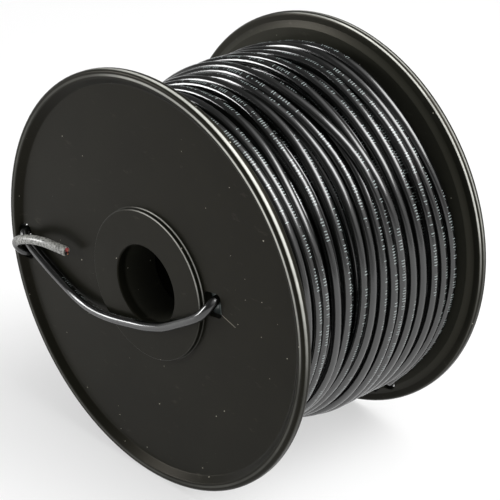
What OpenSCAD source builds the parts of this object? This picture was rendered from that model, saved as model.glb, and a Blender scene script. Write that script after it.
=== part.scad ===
// Wire spool, full of two-conductor cable.
// Two identical flange mouldings close the ends of a plain barrel. The cable
// is wound on the barrel between them; its inner end is threaded through the
// near flange and its outer end through the far one.
// The spool lies on its rims. +Y runs along its axis, from the near flange to
// the far one, +Z is up, and the origin is on the axis, half way along.

/* [Spool] */
// Diameter over the rims
flange_d = 165; // [158:1:180]
// Width over both rims
overall_w = 99; // [94:0.5:120]
// Diameter of the arbor bore
bore_d = 31.8; // [26:0.2:36]
// Outside diameter of the barrel
barrel_d = 60; // [56:0.5:64]
// Wall of the barrel
barrel_wall = 2.4; // [1.8:0.1:3]
// Gap between each end of the barrel and the flange it stands on
seat_gap = 0.1; // [0.05:0.05:0.3]

/* [Flange] */
// Thickness of the web
web_t = 2.8; // [2.2:0.1:3.6]
// How far the rim stands outside the web
lip_h = 2.4; // [1.8:0.1:3.2]
// Radial width of the rim
rim_w = 3.3; // [2.8:0.1:5]
// Radial width of the slope that joins the web to the rim
slope_w = 2.6; // [2:0.1:4]
// How far the rim's inner side stands back from the web's
rim_step = 1.2; // [0.6:0.1:1.8]
// Rounding of the rim's two corners
nose_r = 1.4; // [0.8:0.1:1.6]
// Radius that blends the slope into the web and into the rim
blend_r = 0.9; // [0.4:0.1:1.2]

/* [Hub] */
// How far the hub boss stands back from the rim's plane
boss_drop = 0.2; // [0:0.1:1]
// How much smaller than the barrel the boss is, in radius
boss_inset = 0.25; // [0.1:0.05:1]
// Rounding of the boss's edge
boss_edge = 0.5; // [0.2:0.1:0.8]
// Wall of the sleeve that carries the arbor
sleeve_wall = 2.6; // [1.8:0.1:3.4]
// Length of the sleeve inside the web
sleeve_len = 14; // [8:1:24]
// Length of the spigot that the barrel fits over
spigot_len = 12; // [6:1:20]
// Wall of the spigot
spigot_wall = 2; // [1.4:0.1:2.8]
// Radial clearance between the spigot and the barrel
spigot_fit = 0.15; // [0.05:0.05:0.4]
// Number of ribs between the sleeve and the spigot
rib_count = 6; // [3:1:12]
// Thickness of a rib
rib_t = 1.8; // [1.2:0.1:3]

/* [Cable holes] */
// Radial width of the hole that the inner end comes out of
start_hole_w = 8.5; // [5:0.5:9]
// Length of that hole round the hub
start_hole_l = 9.5; // [7:0.5:12]
// Corner radius of that hole
start_hole_r = 2; // [0.5:0.1:2]
// Web left between the barrel and that hole
start_hole_gap = 0.5; // [0.2:0.1:2]
// Diameter of the tie holes beside the rim
tie_hole_d = 6; // [5:0.1:7]
// How far a tie hole's centre lies inside the foot of the rim's slope
tie_inset = 1.4; // [1:0.1:3]
// Angle between the two tie holes
tie_step = 7.2; // [6.5:0.1:12]
// Angle from the start hole round to the middle of the tie holes
tie_from_start = 181; // [160:1:200]
// Chamfer on the tie holes' edges
hole_ch = 0.4; // [0.2:0.1:0.6]

/* [Cable] */
// Diameter of the cable over its jacket
cable_d = 3.8; // [3:0.1:4]
// Diameter of one insulated conductor
conductor_d = 1.5; // [1.2:0.1:1.5]
// Diameter over the copper strands in one conductor
copper_d = 0.9; // [0.6:0.1:1]
// Radial clearance between the copper and its insulation
strand_fit = 0.02; // [0.01:0.01:0.05]
// Gap between the two conductors
conductor_gap = 0.1; // [0.05:0.05:0.2]
// How far the conductors stand out of the cut end
conductor_proud = 0.7; // [0.3:0.1:2]
// How far the copper stands out of its insulation
copper_proud = 0.2; // [0:0.1:1]

/* [Winding] */
// Diameter over the outer turns beside the near flange
wind_near_d = 138.6; // [110:0.2:144]
// Diameter over the outer turns beside the far flange
wind_far_d = 147; // [110:0.2:148]
// Width across the spool in which the winding rises from one to the other
rise_w = 26; // [20:1:40]
// Middle of that rise, from the middle of the spool towards the far flange
rise_at = -1; // [-10:1:10]
// Whole turns in the outer layer, besides the last part of a turn
whole_turns = 16; // [12:1:16]
// Clearance between the cable and the flanges or the turns below
lay_gap = 0.3; // [0.2:0.05:0.5]
// How far the turns wander to and fro in each turn
wander = 0.8; // [0:0.1:1]
// How far neighbouring turns wander apart and together
stray = 0.3; // [0:0.05:0.3]
// How far the turns are bunched across the spool
bunching = 0.35; // [0:0.05:0.35]

/* [Hidden] */

$fn = 144;
small_fn = 32;         // facets of the small rounds
hole_fn = 48;          // facets of the tie holes
corner_steps = 6;      // chords in the rounding of a corner
blend_steps = 4;       // chords in a blend between two faces
overcut = 1;           // how far a cut runs past the face it opens
merge = 0.2;           // how far a rib runs into the walls it joins

// Levels across the spool, measured from the rim's front plane inwards
half_w = overall_w / 2;
flange_r = flange_d / 2;
web_in = lip_h + web_t;
rim_back = web_in - rim_step;
rim_in_r = flange_r - rim_w;
slope_foot_r = rim_in_r - slope_w;
half_traverse = half_w - web_in;

// Hub and barrel
bore_r = bore_d / 2;
bore_ch = 0.4;
barrel_r = barrel_d / 2;
barrel_in_r = barrel_r - barrel_wall;
boss_r = barrel_r - boss_inset;
sleeve_r = bore_r + sleeve_wall;
spigot_r = barrel_in_r - spigot_fit;
spigot_in_r = spigot_r - spigot_wall;
spigot_ch = 0.6;
rib_drop = 1;          // the ribs end this far short of the spigot's edge
rib_len = spigot_in_r - sleeve_r;

// Holes: the start hole lies just outside the barrel, the tie holes inside the rim's slope
start_r = barrel_r + start_hole_gap + start_hole_w / 2;
tie_r = slope_foot_r - tie_inset;
near_turn = 7;         // angle of the near flange's start hole, from +X towards +Z
far_turn = 118;        // the same for the far flange

// Winding: the outer layer is one tube of short straight chords over a plain core
sides = 6;
rings_per_turn = 24;
chord = cos(180 / rings_per_turn);
core_half = half_traverse - lay_gap;
lay_half = half_traverse - lay_gap - cable_d / 2;
start_angle = 220;     // where the outer layer comes up from the layer below
end_angle = -36;       // where it leaves for the far flange's tie hole
turns = whole_turns + (start_angle - end_angle) / 360;
hug_start = 0.35;      // part of a turn for which it lies along the near flange
hug_end = 0.12;        // the same along the far flange
pitch = 2 * lay_half / (turns - hug_start - hug_end);
climb = 0.28;          // part of a turn in which it climbs to the outer layer
pocket_spare = 2.3;    // room beside the turn that climbs to the outer layer
pocket_w = cable_d + pocket_spare;
pocket_depth = cable_d + lay_gap;
pocket_angle = 112;
bunches = 3;           // how many times the spacing opens and closes across the layer
stray_rate = 0.37;     // how many times a turn strays from its neighbours in each turn
wander_phase = -60;    // where in its wandering the layer starts
stray_phase = 40;

// Free ends of the cable
tail_sides = 8;
tail_steps = 2;        // rings to each pair of route points
tail_bend_start = [1, 0, 0];

// Inner end: out of the start hole, over the boss below the bore, through the upper
// tie hole, back through the lower one and over itself to its cut end
start_route = [
    [35.3, -44, 6.2], [35.3, -46, 6.1], [35.1, -48, 5.2], [34.3, -49.8, 3.3],
    [32.2, -51.1, 0.5], [28, -51.6, -2.6], [22, -51.6, -6.2], [15.5, -51.6, -10],
    [10, -51.6, -12.7], [1.5, -51.6, -15.5], [-7.5, -51.6, -17.5], [-15, -51.6, -19],
    [-22, -51.5, -20], [-29.5, -51, -20.6], [-37, -50.2, -20.4], [-45, -49.6, -18.6],
    [-51, -49.4, -16.4], [-56.5, -49.4, -14], [-61, -49.4, -11.8], [-65.5, -49.4, -9.5],
    [-69.5, -49.4, -7.2], [-72.8, -49.3, -5], [-74.8, -48.1, -3.6], [-75.2, -46.2, -3.2],
    [-75.2, -44, -3.3], [-75.2, -42, -4.5], [-75, -41, -6.7], [-74.8, -41, -9],
    [-74.5, -42, -11.2], [-74.3, -44, -12.4], [-74.3, -46.2, -12.5], [-74.5, -48.3, -11.9],
    [-75, -50.1, -10.5], [-75.2, -51.6, -8.6], [-74.4, -52.8, -6.4], [-72, -53.5, -4.4],
    [-68, -53.7, -2.6], [-62, -53.6, -0.8], [-55.5, -53.2, 0.2], [-50, -52.4, 0],
    [-47, -51.9, -0.2], [-44, -51.4, -0.4]];

// Outer end, after the winding: through the far flange's upper tie hole and back
// through the lower one
finish_route = [
    [50.4, 42.1, -52], [47.2, 42.3, -55.4], [44.4, 42.8, -58.6], [42.2, 43.8, -61.3],
    [40.9, 45.3, -62.9], [40.2, 47.2, -63.6], [39.4, 49.3, -64.2], [38, 50.8, -65.1],
    [36.2, 51.3, -66], [34.3, 50.7, -67], [32.8, 49, -67.7], [32.3, 46.8, -67.9],
    [32.2, 44, -67.9], [32.1, 41, -68], [32, 38, -68.1], [32, 36, -68.1]];

// Turns a solid that stands on its axis so that the axis lies along Y
module lay() rotate([90, 0, 0]) children();

// Points of an arc about [x, y], from angle a0 to a1
function arc(x, y, r, a0, a1, steps = corner_steps) =
    [for (i = [0 : steps]) let (a = a0 + (a1 - a0) * i / steps) [x + r * cos(a), y + r * sin(a)]];

function unit(v) = v / norm(v);

// Section of a flange from its bore outwards: [radius, depth behind the rim's front plane]
function flange_section() = concat(
    [[bore_r, boss_drop + bore_ch], [bore_r + bore_ch, boss_drop]],
    arc(boss_r - boss_edge, boss_drop + boss_edge, boss_edge, -90, 0),
    arc(boss_r + boss_edge, lip_h - boss_edge, boss_edge, 180, 90),
    slope_blends(),
    arc(flange_r - nose_r, nose_r, nose_r, -90, 0),
    arc(flange_r - nose_r, rim_back - nose_r, nose_r, 0, 90),
    slope_back(),
    [[sleeve_r, web_in], [sleeve_r, web_in + sleeve_len], [bore_r + bore_ch, web_in + sleeve_len],
     [bore_r, web_in + sleeve_len - bore_ch]]);

// Outer side of the slope, from the web up to the rim, with a radius at its foot and head
slope_tilt = atan2(lip_h, slope_w);
function slope_blends() = let (cut = blend_r * tan(slope_tilt / 2)) concat(
    arc(slope_foot_r - cut, lip_h - blend_r, blend_r, 90, 90 - slope_tilt, blend_steps),
    arc(rim_in_r + cut, blend_r, blend_r, 270 - slope_tilt, 270, blend_steps));

// Inner side of the slope, from the rim back to the web
back_tilt = atan2(rim_step, slope_w);
function slope_back() = let (cut = blend_r * tan(back_tilt / 2)) concat(
    arc(rim_in_r + cut, rim_back + blend_r, blend_r, 270, 270 - back_tilt, blend_steps),
    arc(slope_foot_r - cut, web_in - blend_r, blend_r, 90 - back_tilt, 90, blend_steps));

// One flange moulding, lying on its outside: web, rim, boss and sleeve, spigot, ribs, holes
module flange() {
    difference() {
        union() {
            rotate_extrude() polygon(flange_section());
            spigot();
            for (i = [0 : rib_count - 1]) rotate([0, 0, 360 * (i + 0.5) / rib_count]) rib();
        }
        start_hole();
        for (side = [-0.5, 0.5]) rotate([0, 0, tie_from_start + side * tie_step]) tie_hole();
    }
}

// Ring that the barrel fits over, with a lead-in on its edge
module spigot() rotate_extrude() polygon([
    [spigot_in_r, web_in - merge], [spigot_r, web_in - merge],
    [spigot_r, web_in + spigot_len - spigot_ch], [spigot_r - spigot_ch, web_in + spigot_len],
    [spigot_in_r, web_in + spigot_len]]);

module rib() translate([sleeve_r - merge, -rib_t / 2, web_in - merge])
    cube([rib_len + 2 * merge, rib_t, spigot_len - rib_drop + merge]);

// Square hole with round corners, through the web beside the barrel
module start_hole() translate([start_r, 0, lip_h - overcut])
    linear_extrude(web_t + 2 * overcut) {
        square([start_hole_w - 2 * start_hole_r, start_hole_l], center = true);
        square([start_hole_w, start_hole_l - 2 * start_hole_r], center = true);
        for (x = [-1, 1], y = [-1, 1])
            translate([x * (start_hole_w / 2 - start_hole_r), y * (start_hole_l / 2 - start_hole_r)])
                circle(start_hole_r, $fn = small_fn);
    }

// Round hole beside the rim, chamfered on the inside of the web
module tie_hole() translate([tie_r, 0, 0]) {
    translate([0, 0, -overcut]) cylinder(d = tie_hole_d, h = web_in + 2 * overcut, $fn = hole_fn);
    translate([0, 0, web_in - hole_ch])
        cylinder(d1 = tie_hole_d, d2 = tie_hole_d + 4 * hole_ch, h = 2 * hole_ch, $fn = hole_fn);
}

module near_flange() color([0.17, 0.17, 0.155])
    lay() translate([0, 0, half_w]) rotate([180, 0, 0]) rotate([0, 0, -near_turn]) flange();

module far_flange() color([0.15, 0.15, 0.14])
    lay() translate([0, 0, -half_w]) rotate([0, 0, far_turn]) flange();

// Plain tube that stands on both webs, over their spigots
module barrel() color([0.1, 0.1, 0.1]) lay() rotate_extrude()
    translate([barrel_in_r, -half_traverse + seat_gap])
        square([barrel_wall, 2 * (half_traverse - seat_gap)]);

// Height of the outer turns' centre lines above the axis, and of the core they lie on
function smooth(t) = t <= 0 ? 0 : t >= 1 ? 1 : t * t * (3 - 2 * t);
function layer_r(y) = (wind_near_d - cable_d) / 2
    + (wind_far_d - wind_near_d) / 2 * smooth((y - rise_at) / rise_w + 0.5);
function core_r(y) = layer_r(y) * chord - cable_d / 2 - lay_gap;
near_core_r = core_r(-core_half);
sunk_r = (near_core_r - pocket_depth + cable_d / 2 + lay_gap) / chord;
rise_steps = 12;

// The layers under the outer one, as one ring. A pocket beside the near flange holds
// the last turn of the layer below where it climbs.
module inner_windings() color([0.08, 0.08, 0.08]) lay() difference() {
    rotate_extrude() polygon(concat(
        [[barrel_r + lay_gap, core_half], [barrel_r + lay_gap, -core_half]],
        [[core_r(core_half), -core_half]],
        [for (i = [rise_steps : -1 : 0]) let (y = rise_at + rise_w * (i / rise_steps - 0.5))
            [core_r(y), -y]],
        [[near_core_r, core_half]]));
    rotate([0, 0, start_angle - pocket_angle]) rotate_extrude(angle = pocket_angle)
        translate([near_core_r - pocket_depth, core_half - pocket_w])
            square([pocket_depth + overcut, pocket_w + overcut]);
}

// Place of the outer layer after so many turns: it runs from the near flange to the far one
// while the angle falls, climbs at its start, wanders and bunches a little in between
function across_y(t) = let (u = min(max(t - hug_start, 0), turns - hug_start - hug_end),
                            part = 180 * u / (turns - hug_start - hug_end))
    -lay_half + pitch * u + bunching * sin(2 * bunches * part)
    + sin(part) * (wander * sin(360 * t + wander_phase)
        + stray * sin(360 * stray_rate * t + stray_phase));
function turn_point(t) = let (a = start_angle - 360 * t, y = across_y(t),
                              r = sunk_r + (layer_r(y) - sunk_r) * smooth(t / climb))
    [r * cos(a), y, r * sin(a)];
function turn_way(a) = [sin(a), 0, -cos(a)];

ring_total = floor(turns * rings_per_turn);
layer_head = turn_point(0) + turn_way(start_angle) * seat_gap;
layer_leave = turn_point(turns);
layer_end = layer_leave + turn_way(end_angle) * cable_d;
layer_path = concat(
    [layer_head, layer_head + turn_way(start_angle) * cable_d],
    [for (i = [1 : ring_total - 1]) turn_point(i / rings_per_turn)],
    [layer_leave, layer_end]);

// Least gap between the tube and its own next turn, found on the path's points
function next_turn_gap(p) = min([for (i = [1 : len(p) - rings_per_turn - 4])
    min([for (j = [-2 : 2]) norm(p[i + rings_per_turn + j] - p[i])])]) - cable_d;
echo(least_gap_of_the_outer_turns = next_turn_gap(layer_path));
echo(turns_in_the_outer_layer = turns, pitch = pitch);

// Way the path runs at each of its points
function ways(p) = [for (i = [0 : len(p) - 1])
    unit((i == 0 ? [0, 0, 0] : unit(p[i] - p[i - 1]))
       + (i == len(p) - 1 ? [0, 0, 0] : unit(p[i + 1] - p[i])))];

// A square-on direction carried along those ways without twist
function across(n, way) = unit(n - (n * way) * way);
function carried(w, n0) = [for (i = 0, n = across(n0, w[0]); i < len(w);
    i = i + 1, n = across(n, w[min(i, len(w) - 1)])) n];

// A round bar of triangles along a path
module tube(path, d, sides, n0) {
    w = ways(path);
    n = carried(w, n0);
    last = len(path) - 1;
    points = concat(
        [for (i = [0 : last], k = [0 : sides - 1]) let (a = 360 * k / sides)
            path[i] + d / 2 * (cos(a) * n[i] + sin(a) * cross(w[i], n[i]))],
        [path[0], path[last]]);
    function at(i, k) = i * sides + k % sides;
    hub = len(points) - 2;
    polyhedron(points, concat(
        [for (i = [0 : last - 1], k = [0 : sides - 1]) [at(i, k), at(i + 1, k), at(i, k + 1)]],
        [for (i = [0 : last - 1], k = [0 : sides - 1]) [at(i + 1, k), at(i + 1, k + 1), at(i, k + 1)]],
        [for (k = [0 : sides - 1]) [hub, at(0, k), at(0, k + 1)]],
        [for (k = [0 : sides - 1]) [hub + 1, at(last, k + 1), at(last, k)]]));
}

// Smooth path through chosen points, straight at its ends
function through(p, steps) = let (
    last = len(p) - 1,
    q = concat([2 * p[0] - p[1]], p, [2 * p[last] - p[last - 1]]))
    concat([for (i = [0 : last - 1], j = [0 : steps - 1]) let (t = j / steps)
        0.5 * (2 * q[i + 1] + (q[i + 2] - q[i]) * t
             + (2 * q[i] - 5 * q[i + 1] + 4 * q[i + 2] - q[i + 3]) * t * t
             + (3 * q[i + 1] - q[i] - 3 * q[i + 2] + q[i + 3]) * t * t * t)], [p[last]]);
function path_length(p, i = 1) = i >= len(p) ? 0 : norm(p[i] - p[i - 1]) + path_length(p, i + 1);

start_path = through(start_route, tail_steps);
finish_path = through(concat([layer_end, layer_end + turn_way(end_angle) * cable_d], finish_route),
                      tail_steps);
echo(start_tail_length = path_length(start_path), finish_tail_length = path_length(finish_path));

module outer_windings() color([0.12, 0.12, 0.12]) tube(layer_path, cable_d, sides, [0, 1, 0]);
module start_tail() color([0.16, 0.16, 0.16]) tube(start_path, cable_d, tail_sides, tail_bend_start);
module finish_tail() color([0.16, 0.16, 0.16]) tube(finish_path, cable_d, tail_sides, [0, 1, 0]);

// The two insulated conductors stand side by side out of the cable's cut end
cut_end = start_route[len(start_route) - 1];
cut_way = unit(cut_end - start_route[len(start_route) - 2]);
module at_cut_end(side) translate(cut_end)
    rotate([0, acos(cut_way[2]), atan2(cut_way[1], cut_way[0])])
        translate([side * (conductor_d + conductor_gap) / 2, 0, 0]) children();

module conductor(side) at_cut_end(side) difference() {
    cylinder(d = conductor_d, h = conductor_proud, $fn = small_fn);
    translate([0, 0, -overcut])
        cylinder(d = copper_d + 2 * strand_fit, h = conductor_proud + 2 * overcut, $fn = small_fn);
}
module red_conductor() color([0.75, 0.25, 0.25]) conductor(-1);
module black_conductor() color([0.1, 0.1, 0.1]) conductor(1);
module copper_strands() color([0.8, 0.5, 0.35]) for (side = [-1, 1]) at_cut_end(side)
    cylinder(d = copper_d, h = conductor_proud + copper_proud, $fn = small_fn);

near_flange();
far_flange();
barrel();
inner_windings();
outer_windings();
start_tail();
finish_tail();
red_conductor();
black_conductor();
copper_strands();
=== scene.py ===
# %% [markdown]
# # A spool full of two-conductor cable
# The object is a black moulded spool, 165 mm across, that lies on its two rims. About 70 m of thin
# round cable is wound on it, and both ends of the cable are tied through holes in the flanges.
# The flanges and the barrel are rigid, so their solids come ready made from the CAD model. What
# is built here is the soft part: every visible turn of the cable, its two ends, the cut end with
# its copper, and the finish of each surface.

# %% Load the fixed frame
import math

import bpy
import numpy as np
from mathutils import Matrix, Vector


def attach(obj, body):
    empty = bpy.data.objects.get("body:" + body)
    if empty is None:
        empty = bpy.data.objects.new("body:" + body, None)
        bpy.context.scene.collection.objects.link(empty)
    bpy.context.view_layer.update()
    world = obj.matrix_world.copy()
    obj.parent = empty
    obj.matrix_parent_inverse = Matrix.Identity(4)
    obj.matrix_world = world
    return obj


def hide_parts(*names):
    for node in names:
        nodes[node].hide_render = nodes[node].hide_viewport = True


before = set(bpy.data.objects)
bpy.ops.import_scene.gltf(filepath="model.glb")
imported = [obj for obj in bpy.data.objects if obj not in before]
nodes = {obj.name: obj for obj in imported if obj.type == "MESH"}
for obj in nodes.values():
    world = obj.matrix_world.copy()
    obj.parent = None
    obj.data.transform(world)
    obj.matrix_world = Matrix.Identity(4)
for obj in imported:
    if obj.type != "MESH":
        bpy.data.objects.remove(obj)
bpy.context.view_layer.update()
scene = bpy.context.scene
print("nodes:", sorted(nodes))

# %% [markdown]
# ## The camera
# The spool is seen from the front right and from a little above, through a long lens, which keeps
# the rims close to true ellipses. A camera's matrix has its right, up and backward directions as
# columns, so writing those three directions down places it without any angle to get wrong.

# %% Camera
CAMERA_PLACE = Vector((0.4231, -0.4081, 0.2838))
CAMERA_RIGHT = Vector((0.6987, 0.7154, 0.0)).normalized()
CAMERA_UP = Vector((-0.3125, 0.3057, 0.8994)).normalized()
LENS_MM = 120.5
SENSOR_MM = 36.0
CLIP_START = 0.05               # metres from the lens within which nothing is drawn

camera_data = bpy.data.cameras.new("camera")
camera_data.lens = LENS_MM
camera_data.sensor_width = SENSOR_MM
camera_data.clip_start = CLIP_START
camera = bpy.data.objects.new("camera", camera_data)
scene.collection.objects.link(camera)
camera_back = CAMERA_RIGHT.cross(CAMERA_UP).normalized()
camera_up = camera_back.cross(CAMERA_RIGHT)
camera.matrix_world = Matrix.Translation(CAMERA_PLACE) @ Matrix(
    (CAMERA_RIGHT, camera_up, camera_back)).transposed().to_4x4()
scene.camera = camera
scene.view_settings.view_transform = "Standard"
print("camera looks along", [round(-v, 3) for v in camera_back])

# %% [markdown]
# ## Sizes that everything shares
# The cable is 3.8 mm thick. The outer layer sits lower beside the near flange than beside the far
# one, because the last full layer stops half way across. These are the same sizes and the same
# formulas as the CAD model's, in metres, so the dressed cable lies where its solids lie.

# %% Sizes in metres
MM = 0.001
FLANGE_R = 82.5 * MM
HALF_TRAVERSE = 44.3 * MM       # from the middle of the spool to the inner face of a web
BARREL_R = 30 * MM
CABLE_R = 1.9 * MM
CABLE_D = 2 * CABLE_R
LAY_GAP = 0.3 * MM              # least gap between a turn of the outer layer and a web
LAY_HALF = HALF_TRAVERSE - LAY_GAP - CABLE_R
WIND_NEAR_R = 69.3 * MM         # over the outer turns beside the near flange
WIND_FAR_R = 73.5 * MM          # the same beside the far flange
RISE_W = 26 * MM                # the winding rises from one to the other over this width
RISE_AT = -1 * MM               # the middle of that width
LEVEL_AT = 40 * MM              # so far from the middle of the spool the rise is over
START_ANGLE = 220.0             # where the outer layer comes up from the layer below
END_ANGLE = -36.0               # where it leaves for the far flange's hole
TURNS = 16 + (START_ANGLE - END_ANGLE) / 360
CLIMB = 0.28                    # part of a turn in which it climbs to the outer layer


def smooth(t):
    """3 t squared minus 2 t cubed, held at 0 below 0 and at 1 above 1."""
    t = np.clip(t, 0.0, 1.0)
    return t * t * (3 - 2 * t)


def layer_radius(y):
    """Radius of the outer turns' centre lines: near radius plus the rise, eased across its width."""
    return WIND_NEAR_R - CABLE_R + (WIND_FAR_R - WIND_NEAR_R) * smooth((y - RISE_AT) / RISE_W + 0.5)


def wave(t, waves, phase=0.0):
    """Sine with so many waves in each turn, begun at a phase: sin(2 pi t waves + phase)."""
    return np.sin(2 * np.pi * t * waves + phase)


def about_axis(radius, angle, y):
    """Points round the spool's axis: (radius cos angle, y, radius sin angle)."""
    return np.stack([radius * np.cos(angle), y, radius * np.sin(angle)], -1)


print(f"{TURNS:.2f} turns, {2 * LAY_HALF / TURNS / MM:.2f} mm apart in the mean, radius "
      f"{layer_radius(-LEVEL_AT) / MM:.1f} to {layer_radius(LEVEL_AT) / MM:.1f} mm")

# %% [markdown]
# ## How a cable becomes a mesh
# A cable is a circle carried along a line. At every point of the line three directions are needed:
# the way it runs, a side square to it, and the cross product of the two. A point of the surface is
# centre + radius x (cos a x side + sin a x cross). Curve objects with a bevel could do this too,
# but a mesh made from arrays also gets its own UV map, in which u is the real length along the
# cable, and the printed marks need that.

# %% Lines and the directions along them
def through(points, steps):
    """Catmull-Rom curve: each stretch is 0.5 x (2b + (c-a)t + (2a-5b+4c-d)t^2 + (3b-a-3c+d)t^3),
    with one more point added in line at both ends, so the ends are straight."""
    p = np.asarray(points, float)
    q = np.vstack([2 * p[0] - p[1], p, 2 * p[-1] - p[-2]])
    t = (np.arange(steps) / steps)[None, :, None]
    a, b, c, d = (q[i:len(q) - 3 + i, None, :] for i in range(4))
    curve = 0.5 * (2 * b + (c - a) * t + (2 * a - 5 * b + 4 * c - d) * t ** 2
                   + (3 * b - a - 3 * c + d) * t ** 3)
    return np.vstack([curve.reshape(-1, 3), p[-1:]])


def unit(v):
    """Each row divided by its own length."""
    return v / np.linalg.norm(v, axis=-1, keepdims=True)


def ways_along(path):
    """The way the line runs at each point: the difference of its two neighbours, made unit."""
    return unit(np.gradient(path, axis=0))


def length_along(path):
    """Distance run along the line up to each of its points."""
    return np.concatenate([[0.0], np.cumsum(np.linalg.norm(np.diff(path, axis=0), axis=1))])


def squared(side, way):
    """side without its part along the way, made unit, so that the two are square."""
    return unit(side - (side * way).sum(-1, keepdims=True) * way)


def carried_sides(way, first_side):
    """One side direction handed on from ring to ring and squared each time: it never twists."""
    sides = [squared(np.asarray(first_side, float), way[0])]
    for step in way[1:]:
        sides.append(squared(sides[-1], step))
    return np.array(sides)


def outward_sides(line, way):
    """For a line wound round the axis: the direction away from the axis, squared to the line."""
    return squared(unit(line * np.array([1.0, 0.0, 1.0])), way)


# %% [markdown]
# Meshes are grids: rows run along the cable and columns run round it. The faces of a grid follow
# from its counting alone, so they are made with array arithmetic too. The two ends are closed with
# one many-sided face each. All faces are shaded smooth, and edges sharper than a set angle are
# marked so that they shade crisp.

# %% From points and faces to a Blender object
SHARP_ANGLE = math.radians(40)


def add_piece(name, points, faces, uv=None):
    """A mesh object at the origin, unturned, with its place in its points."""
    mesh = bpy.data.meshes.new(name)
    mesh.from_pydata(np.asarray(points, float).tolist(), [], faces)
    mesh.polygons.foreach_set("use_smooth", np.ones(len(mesh.polygons), bool))
    mesh.set_sharp_from_angle(angle=SHARP_ANGLE)
    if uv is not None:
        layer = mesh.uv_layers.new(name="along_and_round")
        layer.uv.foreach_set("vector", np.asarray(uv, np.float32).ravel())
    mesh.update()
    piece = bpy.data.objects.new(name, mesh)
    scene.collection.objects.link(piece)
    return piece


# %% Closed grids and tubes
def ring_grid(rings, columns):
    """Corner numbers of the quads between neighbouring rings of a grid that closes on itself."""
    i, k = np.meshgrid(np.arange(rings - 1), np.arange(columns), indexing="ij")
    k2 = (k + 1) % columns
    quads = np.stack([i * columns + k, i * columns + k2, (i + 1) * columns + k2,
                      (i + 1) * columns + k], -1)
    return quads.reshape(-1, 4), i.ravel(), k.ravel()


def end_faces(rings, columns):
    """The two faces that close such a grid at its ends, each with its corners seen from outside."""
    return [list(range(columns))[::-1], [(rings - 1) * columns + j for j in range(columns)]]


def tube_points(centre, side, cross, radius, columns):
    """Circles of the given radii: centre + radius x (cos a x side + sin a x cross)."""
    a = 2 * np.pi * np.arange(columns) / columns
    ring = np.cos(a)[None, :, None] * side[:, None, :] + np.sin(a)[None, :, None] * cross[:, None, :]
    return (centre[:, None, :] + radius[:, None, None] * ring).reshape(-1, 3)


def tube(name, centre, way, side, radius, columns, along):
    """The circles of tube_points joined, with a flat face on both ends. The third direction is
    way x side. In the UV map u is the length along the cable and v is the angle round it / 360."""
    rings = len(centre)
    radius = np.broadcast_to(radius, (rings,))
    points = tube_points(centre, side, np.cross(way, side), radius, columns)
    quads, i, k = ring_grid(rings, columns)
    v0, v1 = k / columns, (k + 1) / columns
    uv = np.stack([np.stack([along[i], v0], -1), np.stack([along[i], v1], -1),
                   np.stack([along[i + 1], v1], -1), np.stack([along[i + 1], v0], -1)], 1)
    cap_uv = [[along[0], 0.5]] * columns + [[along[-1], 0.5]] * columns
    faces = quads.tolist() + end_faces(rings, columns)
    return add_piece(name, points, faces, np.vstack([uv.reshape(-1, 2), cap_uv]))


# %% [markdown]
# ## The cable's inner end
# The first thing anyone sees on the front of the spool is the inner end of the cable. It comes out
# of a square hole beside the hub, runs across the web, goes in through one small hole beside the
# rim, comes back through the other, and is cut off square. It is a free cord, so its route is a
# list of real points, and one smooth line goes through them.

# %% Route of the inner end, in millimetres
START_ROUTE = [
    (35.3, -44, 6.2), (35.3, -46, 6.1), (35.1, -48, 5.2), (34.3, -49.8, 3.3),
    (32.2, -51.1, 0.5), (28, -51.6, -2.6), (22, -51.6, -6.2), (15.5, -51.6, -10),
    (10, -51.6, -12.7), (1.5, -51.6, -15.5), (-7.5, -51.6, -17.5), (-15, -51.6, -19),
    (-22, -51.5, -20), (-29.5, -51, -20.6), (-37, -50.2, -20.4), (-45, -49.6, -18.6),
    (-51, -49.4, -16.4), (-56.5, -49.4, -14), (-61, -49.4, -11.8), (-65.5, -49.4, -9.5),
    (-69.5, -49.4, -7.2), (-72.8, -49.3, -5), (-74.8, -48.1, -3.6), (-75.2, -46.2, -3.2),
    (-75.2, -44, -3.3), (-75.2, -42, -4.5), (-75, -41, -6.7), (-74.8, -41, -9),
    (-74.5, -42, -11.2), (-74.3, -44, -12.4), (-74.3, -46.2, -12.5), (-74.5, -48.3, -11.9),
    (-75, -50.1, -10.5), (-75.2, -51.6, -8.6), (-74.4, -52.8, -6.4), (-72, -53.5, -4.4),
    (-68, -53.7, -2.6), (-62, -53.6, -0.8), (-55.5, -53.2, 0.2), (-50, -52.4, 0),
    (-47, -51.9, -0.2), (-44, -51.4, -0.4)]
START_LENGTH = 0.187            # in metres
TAIL_STEPS = 8                  # rings for each stretch between two of the route's points
TAIL_COLUMNS = 20

start_line = through(np.array(START_ROUTE) * MM, TAIL_STEPS)
start_way = ways_along(start_line)
start_side = carried_sides(start_way, (-1.0, 0.0, 0.0))
print(f"inner end: {length_along(start_line)[-1] / MM:.1f} mm")

# %% [markdown]
# The cut end shows how the cable is made: a jacket 0.4 mm thick round two insulated conductors.
# The last rings of the tube therefore turn inwards: a small rounding, the jacket's cut wall, and
# a floor a little deeper, on which the conductors stand.

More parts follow.
